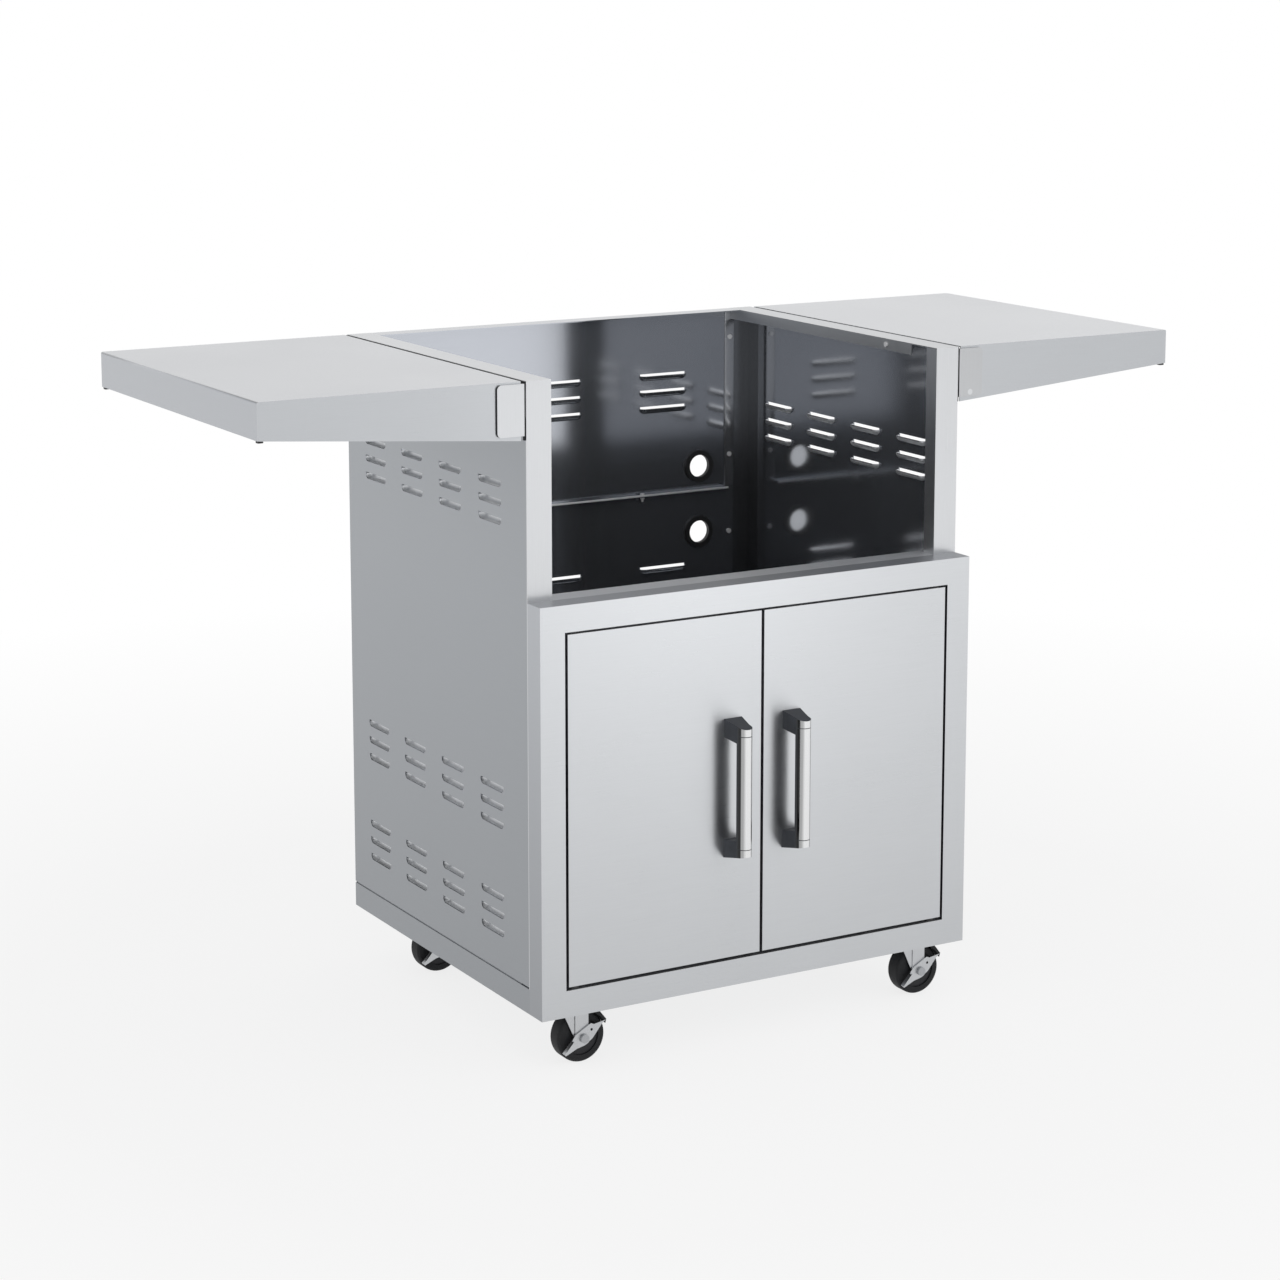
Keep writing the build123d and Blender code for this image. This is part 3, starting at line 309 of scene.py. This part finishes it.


# These three darken towards the bottom as painted shade.
FRONT = brushed("front_satin", SATIN_WHITE, 0.31, "x", 0.03, painted_bottom_shade=0.83)
# Darker copy of the front steel on the frame's sides: painted shade.
FRAME_SIDE = brushed("frame_side_painted_shade", EDGE_PAINTED_SHADE_GREY, 0.33, "y", 0.04, painted_bottom_shade=0.72)
# Darker copy of the front steel on the side panels, the base pan and the outer faces at the back:
# painted shade.
SIDE = brushed("side_painted_shade", SIDE_PAINTED_SHADE_GREY, 0.33, "y", 0.04, painted_bottom_shade=0.88)
# Louvre hoods paler than the side panel, as painted light over their shade, and their backward-facing
# ends as a painted highlight.
LOUVRE = brushed("louvre_painted_light", (0.70, 0.715, 0.735, 1.0), 0.36, "y", 0.04, metallic=0.6)
LOUVRE_END = brushed("louvre_end_painted_highlight", (0.93, 0.935, 0.94, 1.0), 0.36, "y", 0.03, metallic=0.2)
INNER = brushed("inner_bright", INNER_GREY, 0.10, "x", bump=0.012, anisotropy=0.3, spread=0.02,
                metallic=0.86)
INNER_SIDE = brushed("inner_side_bright", INNER_GREY, 0.10, "y", bump=0.012, anisotropy=0.3, spread=0.02,
                     metallic=0.86)
# Shelf trays: the top a paler copy as painted light, the fronts and ends darker copies as painted shade.
SHELF = brushed("shelf_top_painted_light", SHELF_TOP_PAINTED_LIGHT_GREY, 0.32, "x", 0.03)
SHELF_FRONT = brushed("shelf_front_painted_shade", SKIRT_PAINTED_SHADE_GREY, 0.32, "x", 0.03)
SHELF_END = brushed("shelf_end_painted_shade", EDGE_PAINTED_SHADE_GREY, 0.32, "y", 0.03)
POST = brushed("post_satin", POST_GREY, 0.32, "z", 0.04)
LEDGE = brushed("ledge_satin", POST_GREY, 0.32, "y", 0.04)
BRACKET = brushed("bracket_satin", POST_GREY, 0.32, "z", 0.04)
# Darker copy of the bracket steel on the right bracket: painted shade.
RIGHT_BRACKET = brushed("right_bracket_painted_shade", shade(POST_GREY, RIGHT_BRACKET_PAINTED_SHADE), 0.32, "z", 0.04)
# Handle bar with a painted reflection, bright at the crown and dark at the edges.
BAR = half_round("bar_polish_painted_reflection", (0.80, 0.805, 0.81, 1.0), 0.16)
CASTING = moulded("anthracite_casting", (0.05, 0.054, 0.063, 1.0), 0.56, 0.25)
TYRE = moulded("tyre_rubber", (0.012, 0.0125, 0.014, 1.0), 0.66, 0.3)
HUB = moulded("hub_plastic", (0.014, 0.0145, 0.017, 1.0), 0.5, 0.35)
RUBBER = moulded("black_rubber", (0.012, 0.012, 0.013, 1.0), 0.55)
ZINC = brushed("zinc_plate", (0.53, 0.54, 0.555, 1.0), 0.30, "z", 0.07, 0.04)
SCREW = brushed("screw_steel", (0.88, 0.88, 0.885, 1.0), 0.2, "z", bump=0.03, metallic=0.35)
AXLE = brushed("axle_zinc", (0.40, 0.41, 0.425, 1.0), 0.32, "z", 0.07, 0.04)
RAIL = brushed("rail_satin", (0.62, 0.63, 0.65, 1.0), 0.38, "x", metallic=0.7)
# Darker copy of the front steel on the frame's top: painted shade.
FLANGE = brushed("frame_top_painted_shade", (0.42, 0.43, 0.45, 1.0), 0.38, "x")
# Darker copy of the ledge steel on the ledges' inward lips: painted shade.
LIP = brushed("ledge_lip_painted_shade", (0.36, 0.37, 0.385, 1.0), 0.34, "y")
# Dark copy of the steel on the rear posts: painted shade in the back corners.
CORNER = brushed("corner_painted_shade", (0.20, 0.207, 0.22, 1.0), 0.22, "z", 0.06, bump=0.02, anisotropy=0.3,
                 spread=0.04, metallic=0.86)
# Hems and seam roll paler than the rear sheet: painted highlight.
HEM = brushed("hem_painted_highlight", (0.42, 0.43, 0.45, 1.0), 0.2, "z", bump=0.02, anisotropy=0.3, spread=0.04,
              metallic=0.86)
ROLL = brushed("seam_roll_painted_highlight", (0.80, 0.81, 0.82, 1.0), 0.3, "x", bump=0.02, metallic=0.35)
GAP = moulded("shadow_gap", (0.02, 0.021, 0.023, 1.0), 0.6, 0.2)
PEDAL = moulded("pedal_black", (0.010, 0.0105, 0.012, 1.0), 0.5, 0.3)
ACETAL = moulded("bush_plastic", (0.04, 0.04, 0.042, 1.0), 0.5)
MAGNET = moulded("magnet_plastic", (0.11, 0.11, 0.115, 1.0), 0.5)

FINISH = {
    "base_pan": SIDE, "left_side_panel": SIDE, "right_side_panel": SIDE,
    "left_front_post": POST, "right_front_post": POST,
    # The rear posts' dark tone is painted shade in the back corners.
    "left_rear_post": CORNER, "right_rear_post": CORNER,
    "left_top_ledge": LEDGE, "right_top_ledge": LEDGE, "front_top_rail": RAIL,
    # The right bracket's darker tone is painted shade.
    "left_shelf_bracket": BRACKET, "right_shelf_bracket": RIGHT_BRACKET,
    "left_door_liner": INNER, "right_door_liner": INNER,
    "left_shelf_stiffener": LEDGE, "right_shelf_stiffener": LEDGE,
    "rear_upper_panel": INNER, "rear_lower_panel": INNER,
    "hose_grommets": RUBBER, "left_shelf_bumpers": RUBBER, "right_shelf_bumpers": RUBBER,
    "front_door_frame": FRONT, "left_door_skin": FRONT, "right_door_skin": FRONT,
    "door_hinge_bushes": ACETAL, "door_magnet_catches": MAGNET,
    "panel_screws": SCREW, "rear_seam_bolts": SCREW, "shelf_pivot_pins": BRACKET,
    "left_door_hinge_pins": SCREW, "right_door_hinge_pins": SCREW,
    "caster_top_plates": ZINC, "caster_kingpins": ZINC, "caster_plate_bolts": ZINC,
    "left_handle_bar": BAR, "right_handle_bar": BAR,
    "left_handle_body": CASTING, "right_handle_body": CASTING,
    "left_shelf_pan": SHELF, "right_shelf_pan": SHELF,
}
CASTER_FINISH = {"fork": ZINC, "brake_lever": ZINC, "axle": AXLE, "tyre": TYRE, "hub": HUB}
for corner in CASTERS:
    for piece, material in CASTER_FINISH.items():
        FINISH[corner + "_caster_" + piece] = material


def finish_nodes():
    """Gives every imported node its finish."""
    for name, node in nodes.items():
        node.data.materials.clear()
        node.data.materials.append(FINISH[name])


def add_slot(name, material):
    """Adds a finish to a node; gives its mesh and the finish's number."""
    mesh = nodes[name].data
    mesh.materials.append(material)
    return mesh, len(mesh.materials) - 1


def band_finish(name, material, axis, low, high):
    """Gives the faces whose middle lies between two places along an axis a finish of their own."""
    mesh, index = add_slot(name, material)
    for face in mesh.polygons:
        if low < face.center[axis] < high:
            face.material_index = index


def face_finish(name, material, *directions, least=MAINLY):
    """Gives the faces that look along a direction a finish of their own."""
    mesh, index = add_slot(name, material)
    for face in mesh.polygons:
        if any(face.normal.dot(Vector(way)) > least for way in directions):
            face.material_index = index


def louvre_painted_light_finish(name):
    """Gives a side panel's pressed louvres, the faces that lean from its plane, their finishes: paler
    than the panel as painted light over their shade, and a painted highlight on the ends that face
    backwards.
    """
    index = add_slot(name, LOUVRE)[1]
    mesh, end_index = add_slot(name, LOUVRE_END)
    for face in mesh.polygons:
        if PRESSED_LEAN[0] < abs(face.normal[0]) < PRESSED_LEAN[1]:
            face.material_index = end_index if face.normal[1] > PARTLY else index


def ear_painted_shadow(label, sign):
    """Blackens the outer edge of a bracket's ears as painted shadow of the slot that the shelf leaves
    round them.
    """
    low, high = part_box(label + "_shelf_bracket")
    outer = max(abs(low[0]), abs(high[0])) - EAR_CORNER
    mesh, index = add_slot(label + "_shelf_bracket", GAP)
    for face in mesh.polygons:
        if face.normal[0] * sign > PARTLY and face.center[0] * sign > outer:
            face.material_index = index


def handle_finish(name):
    """Darkens a handle bar's ends and the two seams near them."""
    face_finish(name, CASTING, UPWARD, DOWNWARD)
    low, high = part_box(name)
    for seam in (-HANDLE_SEAM, HANDLE_SEAM):
        middle = (low[2] + high[2]) / 2 + seam
        band_finish(name, CASTING, 2, middle - HANDLE_SEAM_HALF, middle + HANDLE_SEAM_HALF)


def soften(name):
    """Rounds a node's sharp folds a little, so that they catch the light."""
    node = nodes[name]
    weld = node.modifiers.new("weld", "WELD")
    weld.merge_threshold = WELD_DISTANCE
    bevel = node.modifiers.new("fold", "BEVEL")
    bevel.width = FOLD_WIDTH
    bevel.segments = FOLD_SEGMENTS
    bevel.limit_method = "ANGLE"
    bevel.angle_limit = math.radians(FOLD_ANGLE)
    bevel.harden_normals = True


def finish_faces():
    """Gives single faces of the nodes finishes of their own; many are lighter or darker copies of one
    steel as painted light and shade.
    """
    for label, sign in SIDES:
        inward = (-sign, 0, 0)
        # Painted shadow on the outer edges of the bracket ears.
        ear_painted_shadow(label, sign)
        face_finish(label + "_side_panel", INNER_SIDE, inward, least=SLIGHTLY)
        # Louvres: painted light on the hoods, painted highlight on their ends.
        louvre_painted_light_finish(label + "_side_panel")
        # Outer faces at the back take the side panels' painted shade.
        face_finish(label + "_rear_post", SIDE, BACKWARD, least=SLIGHTLY)
        # Inward lips of the ledges: painted shade.
        face_finish(label + "_top_ledge", LIP, inward)
        # Shelf fronts and ends: darker copies as painted shade.
        face_finish(label + "_shelf_pan", SHELF_FRONT, BACKWARD, FORWARD)
        face_finish(label + "_shelf_pan", SHELF_END, RIGHTWARD, LEFTWARD)
        soften(label + "_shelf_pan")
        handle_finish(label + "_handle_bar")
    # The rear sheets' outer faces take the side panels' painted shade.
    for name in ("rear_upper_panel", "rear_lower_panel"):
        face_finish(name, SIDE, BACKWARD, least=SLIGHTLY)
    # Frame sides and top: darker copies as painted shade.
    face_finish("front_door_frame", FRAME_SIDE, RIGHTWARD, LEFTWARD)
    face_finish("front_door_frame", FLANGE, UPWARD)


def in_place(axis, first, second, along):
    """Puts a point of an outline that is drawn across an axis in its place."""
    if axis == "x":
        return along, first, second
    if axis == "y":
        return first, along, second
    return first, second, along


def rectangle(low, high):
    """Outline of a rectangle between two corners."""
    return [low, (high[0], low[1]), high, (low[0], high[1])]


def prism(name, outline, start, end, axis, material, body, edge=TRIM_EDGE):
    """A bar with a flat outline drawn across one axis and its edges rounded."""
    mesh = bpy.data.meshes.new(name)
    shape = bmesh.new()
    rings = []
    for along in (start, end):
        rings.append([shape.verts.new(in_place(axis, *point, along)) for point in outline])
    count = len(outline)
    for spot in range(count):
        after = (spot + 1) % count
        shape.faces.new((rings[0][spot], rings[0][after], rings[1][after], rings[1][spot]))
    shape.faces.new(reversed(rings[0]))
    shape.faces.new(rings[1])
    bmesh.ops.recalc_face_normals(shape, faces=shape.faces)
    bmesh.ops.bevel(shape, geom=list(shape.edges), offset=edge, segments=TRIM_SEGMENTS, affect="EDGES",
                    profile=TRIM_PROFILE)
    for face in shape.faces:
        face.smooth = True
    shape.to_mesh(mesh)
    shape.free()
    mesh.materials.append(material)
    piece = bpy.data.objects.new(name, mesh)
    bpy.context.scene.collection.objects.link(piece)
    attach(piece, body)


def rear_trim():
    """Folded hem at each end of the upper rear sheet and the rolled edge of its seam flange, both paler
    than the sheet as a painted highlight on edges that also catch the light.
    """
    low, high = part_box("rear_upper_panel")
    face = high[1] - SHEET
    half = high[0]
    for label, sign in SIDES:
        left, right = sorted((sign * (half - HEM_WIDTH), sign * (half + HEM_OVERHANG)))
        outline = rectangle((left, face - HEM_DEPTH), (right, face))
        foot = low[2] + HEM_END_INSET
        top = high[2] - HEM_END_INSET
        prism(label + "_rear_hem", outline, foot, top, "z", HEM, "cabinet")
    lip = face - SEAM_FLANGE
    outline = rectangle((lip - ROLL_FRONT, low[2] - ROLL_DROP), (lip + ROLL_BACK, low[2] + ROLL_RISE))
    prism("rear_seam_roll", outline, -half + ROLL_END_INSET, half - ROLL_END_INSET, "x", ROLL, "cabinet")


def shelf_shadow_strip(label, sign):
    """Black strip of painted shadow in the slot between a shelf, its bracket and the cabinet's side."""
    low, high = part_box(label + "_shelf_bracket")
    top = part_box(label + "_top_ledge")[1][2]
    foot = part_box(label + "_shelf_pan")[0][2] + SHADOW_STRIP_FOOT_RISE
    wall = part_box("right_side_panel")[1][0]
    left, right = sorted((sign * (wall + SHADOW_STRIP_NEAR), sign * (wall + SHADOW_STRIP_FAR)))
    front = low[1] + SHADOW_STRIP_END_INSET
    back = high[1] - SHADOW_STRIP_END_INSET
    outline = [(front, foot), (front + SHADOW_STRIP_LEG, foot), (front + SHADOW_STRIP_LEG, top - SHADOW_STRIP_DROP),
               (back, top - SHADOW_STRIP_DROP), (back, top - SHADOW_STRIP_TOP_INSET), (front, top - SHADOW_STRIP_TOP_INSET)]
    prism(label + "_shelf_shadow_strip", outline, left, right, "x", GAP, "cabinet", SHADOW_STRIP_EDGE)


def brake_pedal(corner):
    """Black brake shoe on a lever's tip, which crosses over the tyre just clear of its tread."""
    low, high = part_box(corner + "_caster_tyre")
    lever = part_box(corner + "_caster_brake_lever")[1][1]
    x = (low[0] + high[0]) / 2
    z = (low[2] + high[2]) / 2
    reach = high[2] - z + PEDAL_CLEARANCE
    outline = [(x + across, z + up) for across, up in PEDAL_CORNERS]
    for turn in map(math.radians, PEDAL_TURNS):
        outline.append((x + reach * math.cos(turn), z + reach * math.sin(turn)))
    prism(corner + "_brake_pedal", outline, lever - PEDAL_LAP, high[1], "y", PEDAL,
          corner + "_caster_brake", PEDAL_EDGE)


def make_stage():
    """Pale floor that fades into the white surround, and keeps the cart's soft shadow."""
    mesh = bpy.data.meshes.new("floor")
    shape = bmesh.new()
    bmesh.ops.create_circle(shape, cap_ends=True, segments=FLOOR_SEGMENTS, radius=FLOOR_RADIUS)
    shape.to_mesh(mesh)
    shape.free()
    floor = bpy.data.objects.new("floor", mesh)
    bpy.context.scene.collection.objects.link(floor)
    graph = Graph("pale_floor")
    graph.shader.inputs["Base Color"].default_value = FLOOR_GREY
    graph.shader.inputs["Roughness"].default_value = FLOOR_ROUGH
    graph.shader.inputs["Specular IOR Level"].default_value = 0.0
    rays = graph.add("ShaderNodeLightPath").outputs
    seen = graph.maths("MAXIMUM", rays["Is Camera Ray"], rays["Is Glossy Ray"])
    seen = graph.maths("MAXIMUM", seen, rays["Is Transmission Ray"])
    length = graph.add("ShaderNodeVectorMath", operation="LENGTH")
    graph.link(graph.coords(), length.inputs[0])
    far = graph.span(length.outputs["Value"], *FLOOR_FADE_SHARES, *FLOOR_FADE_RADII)
    white = graph.add("ShaderNodeEmission")
    white.inputs["Strength"].default_value = 1.0
    mix = graph.add("ShaderNodeMixShader")
    graph.link(graph.maths("MULTIPLY", seen, far), mix.inputs["Fac"])
    graph.link(graph.shader.outputs["BSDF"], mix.inputs[1])
    graph.link(white.outputs["Emission"], mix.inputs[2])
    graph.link(mix.outputs["Shader"], graph.tree.nodes["Material Output"].inputs["Surface"])
    mesh.materials.append(graph.material)


def make_world():
    """White surround at the horizon that darkens towards the ceiling."""
    world = bpy.data.worlds.new("studio")
    bpy.context.scene.world = world
    world.use_nodes = True
    tree = world.node_tree
    background = tree.nodes["Background"]
    coords = tree.nodes.new("ShaderNodeTexCoord")
    axes = tree.nodes.new("ShaderNodeSeparateXYZ")
    ramp = tree.nodes.new("ShaderNodeMapRange")
    ramp.inputs["From Min"].default_value = SKY_HEIGHTS[0]
    ramp.inputs["From Max"].default_value = SKY_HEIGHTS[1]
    ramp.inputs["To Min"].default_value = SKY_STRENGTHS[0]
    ramp.inputs["To Max"].default_value = SKY_STRENGTHS[1]
    tree.links.new(coords.outputs["Generated"], axes.inputs["Vector"])
    tree.links.new(axes.outputs["Z"], ramp.inputs["Value"])
    tree.links.new(ramp.outputs["Result"], background.inputs["Strength"])
    background.inputs["Color"].default_value = WHITE


def area_light(name, place, target, size, energy):
    """Soft rectangular lamp that faces a point."""
    data = bpy.data.lights.new(name, "AREA")
    data.shape = "RECTANGLE"
    data.size, data.size_y = size
    data.energy = energy
    light = bpy.data.objects.new(name, data)
    light.location = place
    light.rotation_euler = (Vector(target) - Vector(place)).to_track_quat("-Z", "Y").to_euler()
    bpy.context.scene.collection.objects.link(light)


def make_camera():
    """Camera at the photograph's viewing angle."""
    data = bpy.data.cameras.new("camera")
    data.sensor_width = SENSOR_WIDTH
    data.lens = CAMERA_LENS
    data.shift_y = CAMERA_SHIFT_Y
    data.clip_end = CAMERA_CLIP_END
    camera = bpy.data.objects.new("camera", data)
    camera.location = CAMERA_PLACE
    camera.rotation_euler = (math.radians(90 + CAMERA_PITCH), 0.0, math.radians(-CAMERA_YAW))
    bpy.context.scene.collection.objects.link(camera)
    bpy.context.scene.camera = camera


finish_nodes()
finish_faces()
rear_trim()
# Black strips of painted shadow beside the shelves.
for label, sign in SIDES:
    shelf_shadow_strip(label, sign)
for corner in CASTERS:
    brake_pedal(corner)
make_stage()
make_world()
for lamp in LAMPS:
    area_light(*lamp)
make_camera()
bpy.context.scene.view_settings.view_transform = "Standard"
